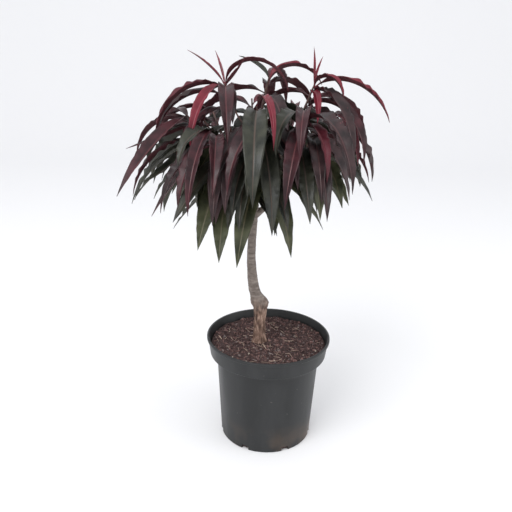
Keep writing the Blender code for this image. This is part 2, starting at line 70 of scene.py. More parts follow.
# Trunk: height, sideways place and radius where it bends or swells
TRUNK_BENDS = (
    (SOIL_LEVEL + GAP, -0.0160, 0.0106),
    (0.2080, -0.0166, 0.0099),
    (0.2400, -0.0160, 0.0106),
    (0.2600, -0.0192, 0.0112),
    (0.2800, -0.0270, 0.0098),
    (0.3080, -0.0316, 0.0085),
    (0.3480, -0.0338, 0.0072),
    (0.4050, -0.0320, 0.0070),
    (0.4740, -0.0285, 0.0066),
)
GRAFT_HEIGHT = 0.2580
GRAFT_REACH = 0.0100
GRAFT_SWELL = 0.0044
GRAFT_SIDE = 0.0012
FLARE = 0.0046
FLARE_REACH = 0.011
FLARE_LOBES = 5
TRUNK_RINGS = 24
TRUNK_SIDES = 10

# Boughs and the stems that go on from them
BOUGH_RADIUS = 0.0046
BOUGH_TIP_RADIUS = 0.0034
BOUGH_RINGS = 6
BOUGH_SIDES = 6
STEM_TIP_RADIUS = 0.0013
STEM_RINGS = 6
STEM_SIDES = 5
TWIG_RADIUS = 0.0019
TWIG_RINGS = 4
TWIG_SIDES = 3

# Each shoot: height of its fork, the bough's tip, the stem's tip, leaves, twigs, seed
SHOOTS = {
    "left": (0.467, (-0.062, -0.010, 0.520), (-0.080, -0.022, 0.630), 13, 1, 11),
    "far_left": (0.414, (-0.086, -0.020, 0.492), (-0.138, -0.036, 0.584), 11, 2, 12),
    "front_left": (0.444, (-0.062, -0.046, 0.488), (-0.094, -0.092, 0.572), 11, 2, 13),
    "front": (0.428, (-0.024, -0.050, 0.498), (-0.030, -0.084, 0.604), 10, 2, 14),
    "front_right": (0.448, (0.014, -0.046, 0.490), (0.042, -0.084, 0.584), 11, 2, 15),
    "right": (0.469, (0.014, -0.004, 0.520), (0.058, -0.006, 0.630), 13, 1, 16),
    "far_right": (0.416, (0.036, 0.012, 0.494), (0.084, 0.012, 0.582), 12, 2, 17),
    "back_right": (0.450, (0.004, 0.042, 0.490), (0.036, 0.088, 0.584), 13, 2, 18),
    "back": (0.432, (-0.034, 0.048, 0.498), (-0.040, 0.098, 0.596), 14, 2, 19),
    "back_left": (0.452, (-0.066, 0.038, 0.490), (-0.108, 0.082, 0.580), 13, 2, 20),
    "top": (0.470, (-0.026, 0.004, 0.546), (-0.012, 0.006, 0.640), 15, 1, 21),
}

# Leaf shape, in parts of its length or width
LEAF_STATIONS = (0.0, 0.10, 0.32, 0.58, 0.82)
BLADE_START = 0.05
BLADE_RISE_POWER = 0.62
BLADE_TIP_POWER = 1.05
STALK_WIDTH = 0.0017
LEAF_THICKNESS = 0.0105
LEAST_THICKNESS = 0.0011
YOUNG_FOLD = 38
OLD_FOLD = 14
DROOP_POWER = 0.8
PATH_STEPS = 18

# Crown: its reach round its centre, its lower edge, and how close leaves may come
CROWN_CENTRE = (-0.044, -0.006)
CROWN_RADIUS = 0.212
CROWN_FLOOR = 0.334
SKIRT_RISE = 0.125
SKIRT_POWER = 1.4
CROWN_TOP = 0.684
CLEARANCE = 0.0010
FREE_PART = 0.30
TRIES = 16
SWING = 9
LEADING_TURNS = (0, 4, -4, 8, -8, 12, -12)

# The leaves that draw the crown's outline: shoot, place along it, compass angle,
# rise at the root, fall at the tip, length, width, age from new (0) to old (1)
LEADING_LEAVES = (
    ("left", 0.99, 152, 50, 22, 0.085, 0.007, 0.00),
    ("left", 0.99, 120, 62, 46, 0.060, 0.006, 0.00),
    ("left", 0.96, 354, 96, -80, 0.142, 0.016, 0.05),
    ("left", 0.98, 340, 42, 60, 0.050, 0.011, 0.12),
    ("left", 0.97, 240, 14, -88, 0.138, 0.022, 0.10),
    ("left", 0.95, 203, 30, -88, 0.162, 0.025, 0.25),
    ("left", 0.88, 284, 38, -86, 0.088, 0.020, 0.45),
    ("far_left", 0.86, 173, -26, -18, 0.116, 0.020, 0.50),
    ("far_left", 0.99, 238, -16, -44, 0.186, 0.030, 0.35),
    ("far_left", 0.65, 232, -32, -14, 0.136, 0.024, 0.75),
    ("front_left", 0.90, 209, -40, -54, 0.152, 0.024, 0.45),
    ("front_left", 0.99, 256, 6, -80, 0.165, 0.024, 0.20),
    ("front_left", 0.80, 226, 60, -80, 0.112, 0.028, 0.70),
    ("front_left", 0.55, 236, -20, -50, 0.140, 0.030, 0.85),
    ("front_left", 0.38, 250, -26, -54, 0.158, 0.034, 0.90),
    ("front_left", 0.20, 262, -26, -60, 0.160, 0.034, 0.95),
    ("front", 0.92, 268, 26, -86, 0.205, 0.036, 0.70),
    ("front", 0.80, 284, -24, -70, 0.185, 0.034, 0.66),
    ("front", 0.16, 256, -20, -74, 0.176, 0.034, 0.95),
    ("front", 0.30, 296, -22, -70, 0.172, 0.032, 0.90),
    ("front", 0.99, 286, 56, -88, 0.140, 0.014, 0.10),
    ("top", 0.99, 150, 50, 10, 0.064, 0.016, 0.60),
    ("top", 0.88, 20, 76, -60, 0.118, 0.020, 0.14),
    ("right", 0.99, 86, 64, 46, 0.070, 0.005, 0.00),
    ("right", 0.99, 58, 76, 40, 0.052, 0.005, 0.00),
    ("right", 0.98, 318, 74, -88, 0.084, 0.015, 0.05),
    ("right", 0.97, 341, 40, -68, 0.150, 0.020, 0.12),
    ("right", 0.90, 280, 30, -80, 0.086, 0.016, 0.08),
    ("right", 0.72, 318, 42, -88, 0.170, 0.030, 0.35),
    ("far_right", 0.96, 334, 0, -86, 0.138, 0.030, 0.40),
    ("far_right", 0.90, 350, -36, -74, 0.118, 0.024, 0.70),
    ("far_right", 0.55, 318, -38, -54, 0.124, 0.028, 0.85),
    ("front_right", 0.98, 294, 42, -86, 0.186, 0.030, 0.40),
    ("front_right", 0.94, 316, -10, -74, 0.136, 0.028, 0.50),
    ("front_right", 0.92, 240, 74, -88, 0.136, 0.028, 0.70),
    ("front_right", 0.96, 262, 70, -88, 0.142, 0.024, 0.25),
    ("front_right", 0.78, 255, 18, -87, 0.130, 0.028, 0.60),
    ("front_right", 0.62, 291, 0, -76, 0.136, 0.030, 0.95),
    ("back_right", 0.15, 298, -25, -42, 0.140, 0.020, 0.85),
)

# Fine leaf blades
FINE_STEPS = 46
BLADE_COLUMNS = 11
BLADE_THICKNESS = 0.00045
STALK_THICKNESS = 0.0013
MIDRIB_RIDGE = 0.0009
MIDRIB_WIDTH = 0.0009
GROOVE_DEPTH = 0.0004
GROOVE_WIDTH = 0.0011
VEIN_PAIRS = 15
VEIN_SLANT = 2.6
VEIN_WIDTH = 0.03
QUILT_HEIGHT = 0.00062
RUFFLE_HEIGHT = 0.0020
FULL_RELIEF_WIDTH = 0.024
TOOTH_COUNT = 52
TOOTH_DEPTH = 0.022
TIP_SWAY = 0.006
BLADE_PLACE = "BladePlace"

# Fine bark and stems
BARK_RINGS = 230
BARK_SIDES = 72
BARK_RELIEF = 0.00055
ROUGH_FOOT = 2.0
COLLAR_SWELL = 0.7
COLLAR_REACH = 0.16
FINE_BOUGH_RINGS = 40
FINE_BOUGH_SIDES = 20
FINE_STEM_RINGS = 36
FINE_STEM_SIDES = 14
FINE_TWIG_RINGS = 16
FINE_TWIG_SIDES = 10
NODE_SPACING = 0.011
NODE_SWELL = 0.16
NODE_REACH = 0.16

# Fine pot and compost
FINE_POT_SIDES = 176
CHIP_COUNT = 3000
CHIP_SIZE = 0.0062
CHIP_SHARES = (42, 34, 17, 6, 1)
CHIP_CLEAR_RADIUS = 0.0135
FINE_SOIL_RINGS = 60
FINE_SOIL_SIDES = 150
FIBRE_COUNT = 70
FIBRE_REACH = 0.096

# Pale splinters: start and end across the compost, and radius
SPLINTERS = (
    (-0.034, 0.010, -0.016, 0.013, 0.0009),
    (-0.010, -0.018, -0.004, -0.034, 0.0010),
    (-0.090, 0.012, -0.084, -0.002, 0.0011),
)

# Camera, fitted to the pot in the photograph
CAMERA_PLACE = (-0.0258, -0.9980, 0.7062)
CAMERA_PITCH = 20.01
CAMERA_ROLL = 1.46
CAMERA_VIEW = 45

# Leaf finishes: dark patch, light patch, midrib and roughness. The upper faces come
# first, from new leaves to old ones, parted by AGE_LIMITS, and then the two under faces
LEAF_GLOSS = 0.30
LEAF_TONES = (
    ("leaf_crimson", (0.105, 0.009, 0.018), (0.175, 0.020, 0.034), (0.230, 0.045, 0.060), 0.36),
    ("leaf_ruby", (0.052, 0.008, 0.013), (0.105, 0.016, 0.026), (0.160, 0.034, 0.044), 0.36),
    ("leaf_maroon", (0.018, 0.006, 0.008), (0.060, 0.016, 0.021), (0.105, 0.030, 0.034), 0.36),
    # The mauve-grey tone of the mid-aged upper faces is partly the leaves' own purple-bronze
    # colour and partly a painted reflection of the pale sky.
    ("leaf_mauve_and_painted_sheen", (0.012, 0.008, 0.009), (0.050, 0.025, 0.027), (0.085, 0.040, 0.040), 0.34),
    ("leaf_dark_green", (0.010, 0.012, 0.009), (0.040, 0.041, 0.028), (0.072, 0.050, 0.040), 0.34),
    ("leaf_olive", (0.020, 0.024, 0.011), (0.078, 0.082, 0.042), (0.120, 0.104, 0.062), 0.38),
    ("under_red", (0.070, 0.020, 0.026), (0.110, 0.036, 0.042), (0.150, 0.048, 0.056), 0.50),
    ("under_green", (0.038, 0.040, 0.028), (0.070, 0.070, 0.050), (0.100, 0.076, 0.056), 0.52),
)
AGE_LIMITS = (0.14, 0.24, 0.38, 0.54, 0.86)

# Bark below and above the graft, twigs and splinters, from dark to light
LOWER_BARK = ((0.050, 0.026, 0.018), (0.200, 0.120, 0.088), (0.420, 0.290, 0.225))
UPPER_BARK = ((0.105, 0.083, 0.070), (0.190, 0.156, 0.135), (0.285, 0.245, 0.215))
TWIG_DARK, TWIG_LIGHT = (0.050, 0.022, 0.020), (0.110, 0.050, 0.038)
SPLINTER_DARK, SPLINTER_LIGHT = (0.300, 0.200, 0.150), (0.560, 0.440, 0.350)

# Crumbs of the compost: dark and light tone
CRUMB_TONES = (
    ("compost_dark", (0.030, 0.016, 0.016), (0.080, 0.044, 0.041)),
    ("compost_brown", (0.068, 0.036, 0.034), (0.160, 0.092, 0.086)),
    ("compost_reddish", (0.120, 0.058, 0.052), (0.250, 0.145, 0.130)),
    ("compost_grey", (0.130, 0.100, 0.098), (0.260, 0.210, 0.200)),
    ("compost_pale", (0.340, 0.270, 0.220), (0.540, 0.460, 0.390)),
)

# Pot plastic
POT_GLOSS = 0.40
POT_BLACK = (0.011, 0.012, 0.0125)
POT_SCUFFED = (0.022, 0.023, 0.024)
POT_DUST = (0.090, 0.085, 0.078)
POT_SOIL = (0.110, 0.072, 0.048)

# Studio: each lamp's name, place, size and power
FLOOR_COLOUR = (0.86, 0.86, 0.87)
SKY_COLOUR = (0.97, 0.98, 1.0)
LAMPS = (
    ("key_light", (-0.9, -1.3, 2.1), 1.4, 34),
    ("side_light", (1.6, -0.5, 1.2), 1.0, 7),
)
LAMP_TARGET = (-0.03, 0, 0.42)


def smooth_between(rows, height):
    """Values beside the first column of rows at this height, on a smooth curve through them."""
    last = len(rows) - 2
    i = min(last, max(0, sum(row[0] <= height for row in rows[1:])))
    before, here, there, after = (rows[max(0, min(last + 1, k))] for k in range(i - 1, i + 3))
    span = there[0] - here[0]
    t = min(1.0, max(0.0, (height - here[0]) / span))
    values = []
    for column in range(1, len(here)):
        start_slope = (there[column] - before[column]) / (there[0] - before[0]) * span
        end_slope = (after[column] - here[column]) / (after[0] - here[0]) * span
        a = 2 * here[column] - 2 * there[column] + start_slope + end_slope
        b = 3 * there[column] - 3 * here[column] - 2 * start_slope - end_slope
        values.append(((a * t + b) * t + start_slope) * t + here[column])
    return values


def bezier(points, t):
    """The place at t on the quadratic curve through three control points."""
    start, middle, end = points
    return start * (1 - t) ** 2 + middle * (2 * t * (1 - t)) + end * t * t


def bezier_direction(points, t):
    start, middle, end = points
    return ((middle - start) * (1 - t) + (end - middle) * t).normalized()


def heading(angle, rise=0.0):
    """A step along a compass angle, in radians, and up by rise."""
    return Vector((math.cos(angle), math.sin(angle), rise))


def trunk_centre(height):
    return Vector((smooth_between(TRUNK_BENDS, height)[0], 0.0, height))


def trunk_radius(height, angle):
    """The trunk's radius, with its graft and the lobes of its root flare."""
    radius = smooth_between(TRUNK_BENDS, height)[1]
    graft = math.exp(-(((height - GRAFT_HEIGHT) / GRAFT_REACH) ** 2))
    foot = math.exp(-(height - SOIL_LEVEL) / FLARE_REACH)
    lobes = 0.55 + 0.45 * math.cos(FLARE_LOBES * angle + 0.7)
    return radius + graft * (GRAFT_SWELL + GRAFT_SIDE * math.cos(angle)) + foot * FLARE * lobes


def bough_curve(shoot):
    """Control points from the trunk's axis to the bough's tip."""
    fork_height, tip, _, _, _, _ = SHOOTS[shoot]
    start, end = trunk_centre(fork_height), Vector(tip)
    middle = start.lerp(end, 0.62)
    middle.z = start.z + 0.30 * (end.z - start.z)
    return start, middle, end


def stem_curve(shoot):
    """Control points of the stem that goes on from the bough's tip."""
    bough = bough_curve(shoot)
    onward = bezier_direction(bough, 1.0)
    start, end = bough[2] + onward * GAP, Vector(SHOOTS[shoot][2])
    return start, start + onward * 0.4 * (end - start).length, end


def stem_radius(place):
    return BOUGH_TIP_RADIUS + (STEM_TIP_RADIUS - BOUGH_TIP_RADIUS) * place


def bough_radius(place):
    return BOUGH_RADIUS + (BOUGH_TIP_RADIUS - BOUGH_RADIUS) * place**0.7


def twig_radius(place):
    return TWIG_RADIUS + (STEM_TIP_RADIUS - TWIG_RADIUS) * place


def outward_angle(shoot):
    """The compass angle, in degrees, from the trunk's head to the shoot's tip."""
    tip = Vector(SHOOTS[shoot][2])
    head = trunk_centre(SHOOTS[shoot][0])
    return math.degrees(math.atan2(tip.y - head.y, tip.x - head.x))


def leaf_path(root, compass, rise, fall, length, steps=PATH_STEPS):
    """Points along a leaf's midrib, which leaves its root at rise and droops to fall."""
    angle = math.radians(compass)
    points = [root.copy()]
    for step in range(steps):
        part = (step + 0.5) / steps
        slope = math.radians(rise + (fall - rise) * part**DROOP_POWER)
        level = math.cos(slope)
        forward = Vector((math.cos(angle) * level, math.sin(angle) * level, math.sin(slope)))
        points.append(points[-1] + forward * length / steps)
    return points


def blade_width(part):
    """The blade's width at this part of the leaf's length, 1 where it is widest."""
    t = (part - BLADE_START) / (1 - BLADE_START)
    if t <= 0 or t >= 1:
        return 0.0
    peak = BLADE_RISE_POWER / (BLADE_RISE_POWER + BLADE_TIP_POWER)
    widest = peak**BLADE_RISE_POWER * (1 - peak) ** BLADE_TIP_POWER
    return t**BLADE_RISE_POWER * (1 - t) ** BLADE_TIP_POWER / widest


def leaf_shape(leaf, margin=0.0):
    """Corners and faces of one plain leaf: three-sided rings, edges up and keel down."""
    path, width, age, roll = leaf["path"], leaf["width"], leaf["age"], leaf["roll"]
    thickness = max(LEAST_THICKNESS, leaf["length"] * LEAF_THICKNESS) + margin
    fold = math.radians(YOUNG_FOLD + (OLD_FOLD - YOUNG_FOLD) * age)
    flat = Vector((-math.sin(leaf["compass"]), math.cos(leaf["compass"]), 0.0))
    corners, faces = [], []
    for part in LEAF_STATIONS:
        place = part * PATH_STEPS
        low = min(PATH_STEPS - 1, int(place))
        forward = (path[low + 1] - path[low]).normalized()
        centre = path[low].lerp(path[low + 1], place - low)
        side = Matrix.Rotation(roll * min(1.0, part * 3), 3, forward) @ flat
        above = forward.cross(side)
        half = max(STALK_WIDTH, width * blade_width(part)) / 2 + margin
        open_part = min(1.0, part * 6)
        edge = side * half * math.cos(fold * open_part)
        lift = above * half * math.sin(fold * open_part)
        keel = thickness if part else thickness * 0.8
        corners += [centre + edge + lift, centre - edge + lift, centre - above * keel]
    for ring in range(len(LEAF_STATIONS) - 1):
        for corner in range(3):
            a, b = ring * 3 + corner, ring * 3 + (corner + 1) % 3
            faces.append((a, b, b + 3, a + 3))
    last = len(corners) - 3
    corners.append(path[-1])
    faces += [(last + k, last + (k + 1) % 3, last + 3) for k in range(3)]
    faces.append((2, 1, 0))
    return corners, faces


def tube_faces(rings, sides):
    """Faces of a closed tube whose corners follow ring by ring."""
    faces = []
    for i in range(rings - 1):
        for k in range(sides):
            a, b = i * sides + k, i * sides + (k + 1) % sides
            faces.append((a, b, b + sides, a + sides))
    faces.append(tuple(reversed(range(sides))))
    faces.append(tuple(range((rings - 1) * sides, rings * sides)))
    return faces


def limb_shape(centres, radii, sides):
    """Corners and faces of a limb: a ring round each centre, square to the limb."""
    corners = []
    forward = (centres[1] - centres[0]).normalized()
    start = Vector((0, 1, 0)) if abs(forward.y) < 0.8 else Vector((1, 0, 0))
    side = forward.cross(start).normalized()
    for i, centre in enumerate(centres):
        ahead = centres[min(i + 1, len(centres) - 1)] - centres[max(i - 1, 0)]
        forward = ahead.normalized()
        side = (side - forward * side.dot(forward)).normalized()
        other = forward.cross(side)
        for k in range(sides):
            angle = math.tau * k / sides
            corners.append(centre + (side * math.cos(angle) + other * math.sin(angle)) * radii[i])
    return corners, tube_faces(len(centres), sides)


def tapered(curve, radius_at, rings, sides):
    """A limb along a quadratic curve, with the radius that radius_at gives by place."""
    places = [i / (rings - 1) for i in range(rings)]
    centres = [bezier(curve, place) for place in places]
    return limb_shape(centres, [radius_at(place) for place in places], sides)


def trunk_shape(margin):
    """The trunk in level rings, from its flat foot to a rounded head."""
    foot, head = TRUNK_BENDS[0][0], TRUNK_BENDS[-1][0]
    rings = [(foot + (head - foot) * i / TRUNK_RINGS, 0.0, 1.0) for i in range(TRUNK_RINGS + 1)]
    rings += [(head, 0.0035 + margin, 0.85), (head, 0.0060 + margin, 0.45)]
    corners = []
    for height, step, shrink in rings:
        centre = trunk_centre(height) + Vector((0, 0, step))
        for k in range(TRUNK_SIDES):
            angle = math.tau * k / TRUNK_SIDES
            radius = (trunk_radius(height, angle) + margin) * shrink
            corners.append(centre + heading(angle) * radius)
    return corners, tube_faces(len(rings), TRUNK_SIDES)


def bough_shape(shoot):
    return tapered(bough_curve(shoot), bough_radius, BOUGH_RINGS, BOUGH_SIDES)


def stem_shape(shoot):
    return tapered(stem_curve(shoot), stem_radius, STEM_RINGS, STEM_SIDES)


def twigs_of(shoot):
    """Side twigs of a stem, by a seeded rule: each starts in the stem and turns up."""
    *_, count, seed = SHOOTS[shoot]
    draw = random.Random(seed)
    curve = stem_curve(shoot)
    twigs = []
    for i in range(count):
        place = 0.16 + 0.34 * i + draw.uniform(0.0, 0.08)
        turn = (62 if i % 2 else -62) + draw.uniform(-12, 12)
        angle = math.radians(outward_angle(shoot) + turn)
        length = draw.uniform(0.034, 0.050)
        start = bezier(curve, place)
        middle = start + heading(angle, 0.25) * length * 0.5
        end = start + heading(angle, 0.9) * length * 0.72
        twigs.append((start, middle, end))
    return twigs


def twig_shape(twig):
    return tapered(twig, twig_radius, TWIG_RINGS, TWIG_SIDES)


def make_leaf(root, compass, rise, fall, length, width, age, roll=0.0):
    return {
        "path": leaf_path(root, compass, rise, fall, length),
        "fine_path": leaf_path(root, compass, rise, fall, length, FINE_STEPS),
        "compass": math.radians(compass),
        "length": length,
        "width": width,
        "age": age,
        "roll": roll,
    }


def leaf_plan(shoot):
    """Where the seeded rule would grow leaves on a shoot, stem first: root, compass and place."""
    _, _, _, count, _, seed = SHOOTS[shoot]
    draw = random.Random(seed + 100)
    curve = stem_curve(shoot)
    outward = outward_angle(shoot)
    plan = []
    for i in range(count):
        place = 0.06 + 0.90 * (i + draw.uniform(0.2, 0.8)) / count
        turn = ((i * 137.5 + seed * 40) % 360 - 180) * 0.80
        plan.append((bezier(curve, place), outward + turn, place))
    for twig in twigs_of(shoot):
        side = math.degrees(math.atan2(twig[2].y - twig[0].y, twig[2].x - twig[0].x))
        for i in range(5):
            place = 0.25 + 0.72 * i / 4
            turn = ((i * 137.5 + seed * 25) % 360 - 180) * 0.60
            plan.append((bezier(twig, place), side + turn, 0.20 + 0.62 * place))
    return plan, draw


def grown_leaf(root, compass, place, draw):
    """One leaf by the rule: low, old leaves hang from the root, and young ones rise and arch."""
    age = min(1.0, max(0.16, 1.16 - 0.92 * place + draw.uniform(-0.10, 0.10)))
    rise = 50 - 68 * age + draw.uniform(-12, 12)
    fall = -86 + 22 * age**2 + draw.uniform(-3, 12)
    size = 1.0 - 0.30 * max(0.0, 0.30 - age) / 0.30
    length = draw.uniform(0.138, 0.174) * size
    width = length * (0.150 + 0.055 * age) * draw.uniform(0.92, 1.1)
    roll = math.radians(draw.uniform(-14, 14))
    return make_leaf(root, compass, rise, fall, length, width, age, roll)


def tree_of(shape):
    corners, faces = shape
    return BVHTree.FromPolygons([tuple(c) for c in corners], faces)


def free_shape(leaf, margin):
    """The part of a leaf that stands free of its own stem."""
    corners, faces = leaf_shape(leaf, margin)
    first = next(k for k, part in enumerate(LEAF_STATIONS) if part >= FREE_PART - 0.05)
    kept = [face for face in faces if min(face) >= first * 3]
    return corners, kept


def within_crown(leaf):
    for point in leaf["path"]:
        reach = math.hypot(point.x - CROWN_CENTRE[0], point.y - CROWN_CENTRE[1])
        floor = CROWN_FLOOR + SKIRT_RISE * (reach / CROWN_RADIUS) ** SKIRT_POWER
        if reach > CROWN_RADIUS or not floor < point.z < CROWN_TOP:
            return False
    return True


def grow_leaves():
    """Every shoot's leaves, the leading ones first; a leaf stays only where it is clear."""
    limbs = [tree_of(trunk_shape(CLEARANCE))]
    limbs += [tree_of(bough_shape(shoot)) for shoot in SHOOTS]
    stems = {}
    for shoot in SHOOTS:
        stems[shoot] = [tree_of(stem_shape(shoot))]
        stems[shoot] += [tree_of(twig_shape(twig)) for twig in twigs_of(shoot)]
    leaves = {shoot: [] for shoot in SHOOTS}
    whole = {shoot: [] for shoot in SHOOTS}
    free = {shoot: [] for shoot in SHOOTS}

    def clear(shoot, leaf):
        shape = tree_of(leaf_shape(leaf, CLEARANCE))
        if any(shape.overlap(limb) for limb in limbs):
            return False
        for other in SHOOTS:
            if other != shoot and any(shape.overlap(tree) for tree in stems[other] + whole[other]):
                return False
        outer = tree_of(free_shape(leaf, 0.0))
        return not any(outer.overlap(tree) for tree in free[shoot] + stems[shoot])

    def keep(shoot, leaf):
        leaves[shoot].append(leaf)
        whole[shoot].append(tree_of(leaf_shape(leaf)))
        free[shoot].append(tree_of(free_shape(leaf, 0.0)))

    for shoot, place, compass, rise, fall, length, width, age in LEADING_LEAVES:
        root = bezier(stem_curve(shoot), place)
        for turn in LEADING_TURNS:
            leaf = make_leaf(root, compass + turn, rise + turn / 2, fall, length, width, age)
            if clear(shoot, leaf):
                keep(shoot, leaf)
                break
    plans = {shoot: leaf_plan(shoot) for shoot in SHOOTS}
    for turn_of in range(max(len(plan) for plan, _ in plans.values())):
        for shoot, (plan, draw) in plans.items():
            if turn_of >= len(plan):
                continue
            root, compass, place = plan[turn_of]
            for attempt in range(TRIES):
                swing = attempt * SWING * (1 if attempt % 2 else -1)
                leaf = grown_leaf(root, compass + swing, place, draw)
                if within_crown(leaf) and clear(shoot, leaf):
                    keep(shoot, leaf)
                    break
    return leaves


def turned(profile, sides):
    """Corners and faces of a closed outline of (radius, height) turned about +Z."""
    corners, faces, rings = [], [], []
    for radius, height in profile:
        if radius == 0:
            rings.append([len(corners)] * sides)
            corners.append(Vector((0, 0, height)))
            continue
        rings.append(list(range(len(corners), len(corners) + sides)))
        for k in range(sides):
            angle = math.tau * k / sides
            corners.append(Vector((radius * math.cos(angle), radius * math.sin(angle), height)))
    for here, there in zip(rings, rings[1:]):
        for k in range(sides):
            n = (k + 1) % sides
            face = [here[k], here[n], there[n], there[k]]
            faces.append(tuple(dict.fromkeys(face)))
    return corners, faces


def box_shape(length, width, height):
    x, y, z = length / 2, width / 2, height / 2
    corners = [Vector((i, j, k)) for k in (-z, z) for j in (-y, y) for i in (-x, x)]
    faces = [(0, 2, 3, 1), (4, 5, 7, 6), (0, 1, 5, 4), (2, 6, 7, 3), (0, 4, 6, 2), (1, 3, 7, 5)]
    return corners, faces


def mesh_object(name, corners, faces, materials, slots=None, smooth=True, places=None):
    """A mesh object; slots holds each face's slot, places each corner's texture place."""
    mesh = bpy.data.meshes.new(name)
    mesh.from_pydata(corners, [], faces)
    for finish in materials:
        mesh.materials.append(finish)
    if slots is not None:
        mesh.polygons.foreach_set("material_index", np.asarray(slots, np.int32))
    if places is not None:
        layer = mesh.uv_layers.new(name=BLADE_PLACE)
        loops = np.empty(len(mesh.loops), np.int32)
        mesh.loops.foreach_get("vertex_index", loops)
        layer.data.foreach_set("uv", np.asarray(places, np.float32)[loops].ravel())
    if smooth:
        mesh.shade_smooth()
    made = bpy.data.objects.new(name, mesh)
    bpy.context.scene.collection.objects.link(made)
    return made


def blade_frame(leaf):
    """A fine leaf's midrib points, with the directions across it and out of its upper face."""
    path = np.array([tuple(point) for point in leaf["fine_path"]])
    part = np.linspace(0, 1, len(path))
    forward = np.gradient(path, axis=0)
    forward /= np.linalg.norm(forward, axis=1)[:, None]
    compass = leaf["compass"]
    flat = np.tile((-math.sin(compass), math.cos(compass), 0.0), (len(path), 1))
    roll = (leaf["roll"] * np.minimum(1, part * 3) + leaf["twist"] * part**2)[:, None]
    side = flat * np.cos(roll) + np.cross(forward, flat) * np.sin(roll)
    above = np.cross(forward, side)
    return path + side * (leaf["sway"] * part**2.5)[:, None], side, above


def blade_relief(leaf, down, across, width, breadth):
    """Height of the quilting between the veins and of the wavy edges."""
    spread = np.abs(across)
    veins = (down * VEIN_PAIRS - spread * VEIN_SLANT * width / VEIN_WIDTH) % 1.0
    quilt = QUILT_HEIGHT * np.sin(np.pi * veins) ** 0.8
    quilt = quilt * np.sin(np.pi * np.minimum(spread, 0.98)) * breadth
    phase = leaf["phase"] + 1.3 * np.sign(across)
    beat = down * leaf["waves"] + 0.35 * np.sin(math.tau * down * 1.7 + leaf["phase"])
    strength = 0.55 + 0.45 * np.sin(math.tau * down * 2.3 + phase)
    waves = np.sin(math.tau * beat + phase) * strength
    return quilt + RUFFLE_HEIGHT * leaf["ruffle"] * spread**2 * waves * breadth


def blade_faces(rows, columns):
    """Faces of a blade's upper grid, under grid and border, and 1 for each under face."""
    grid = np.arange(rows * columns).reshape(rows, columns)
    a, b = grid[:-1, :-1].ravel(), grid[:-1, 1:].ravel()
    c, d = grid[1:, 1:].ravel(), grid[1:, :-1].ravel()
    under = rows * columns
    border = np.concatenate([grid[:-1, 0], grid[-1, :-1], grid[:0:-1, -1], grid[0, :0:-1]])
    onward = np.roll(border, -1)
    faces = [
        np.stack([a, b, c, d], 1),
        np.stack([d, c, b, a], 1) + under,
        np.stack([border, onward, onward + under, border + under], 1),
    ]
    sides = np.repeat([0, 1, 0], [len(a), len(a), len(border)])
    return np.concatenate(faces), sides


def blade_mesh(leaf):
    """Corners, faces, face sides and blade places of one fine leaf, as a thin closed blade."""
    path, side, above = blade_frame(leaf)
    part = np.linspace(0, 1, len(path))
    down = part[:, None]
    across = np.linspace(-1, 1, BLADE_COLUMNS)
    spread = np.abs(across)
    width = leaf["width"] * np.array([blade_width(p) for p in part])
    stalk = 1 - np.clip((part - 0.03) / 0.07, 0, 1)
    half = np.maximum(width, STALK_WIDTH * np.clip(1.2 - part * 6, 0.15, 1)) / 2
    margin = 1 + TOOTH_DEPTH * ((part * TOOTH_COUNT) % 1.0 - 0.5) * (1 - stalk)
    reach = half[:, None] * across * np.where(spread > 0.99, margin[:, None], 1.0)
    breadth = np.clip(width / FULL_RELIEF_WIDTH, 0, 1.2)[:, None]
    fold = math.radians(YOUNG_FOLD + (OLD_FOLD - YOUNG_FOLD) * leaf["age"])
    fold = (fold * np.minimum(1, part * 6))[:, None]

    height = half[:, None] * spread**1.2 * np.sin(fold)
    height = height + blade_relief(leaf, down, across, width[:, None], breadth)
    height = height - GROOVE_DEPTH * np.exp(-((reach / GROOVE_WIDTH) ** 2)) * breadth
    top = path[:, None, :] + side[:, None, :] * (reach * np.cos(fold))[..., None]
    top = top + above[:, None, :] * height[..., None]
    ridge = MIDRIB_RIDGE * (1 - 0.75 * down) * np.exp(-((reach / MIDRIB_WIDTH) ** 2))
    ridge = ridge * np.clip(breadth + 0.25, 0, 1)
    thick = BLADE_THICKNESS * (1 - 0.5 * spread**4) + STALK_THICKNESS * stalk[:, None] + ridge
    low = top - above[:, None, :] * thick[..., None]

    corners = np.concatenate([top.reshape(-1, 3), low.reshape(-1, 3)])
    places = np.stack([np.tile(across * 0.5 + 0.5, len(path)), np.repeat(part, BLADE_COLUMNS)], 1)
    faces, sides = blade_faces(len(path), BLADE_COLUMNS)
    return corners, faces, sides, np.concatenate([places, places])


def leaf_slots(leaf, draw):
    """The upper and under material slots of a leaf, dealt out by its age."""
    age = leaf["age"] + draw.uniform(-0.07, 0.07)
    upper = sum(age > limit for limit in AGE_LIMITS)
    under_red = len(AGE_LIMITS) + 1
    return upper, under_red if age < 0.5 else under_red + 1


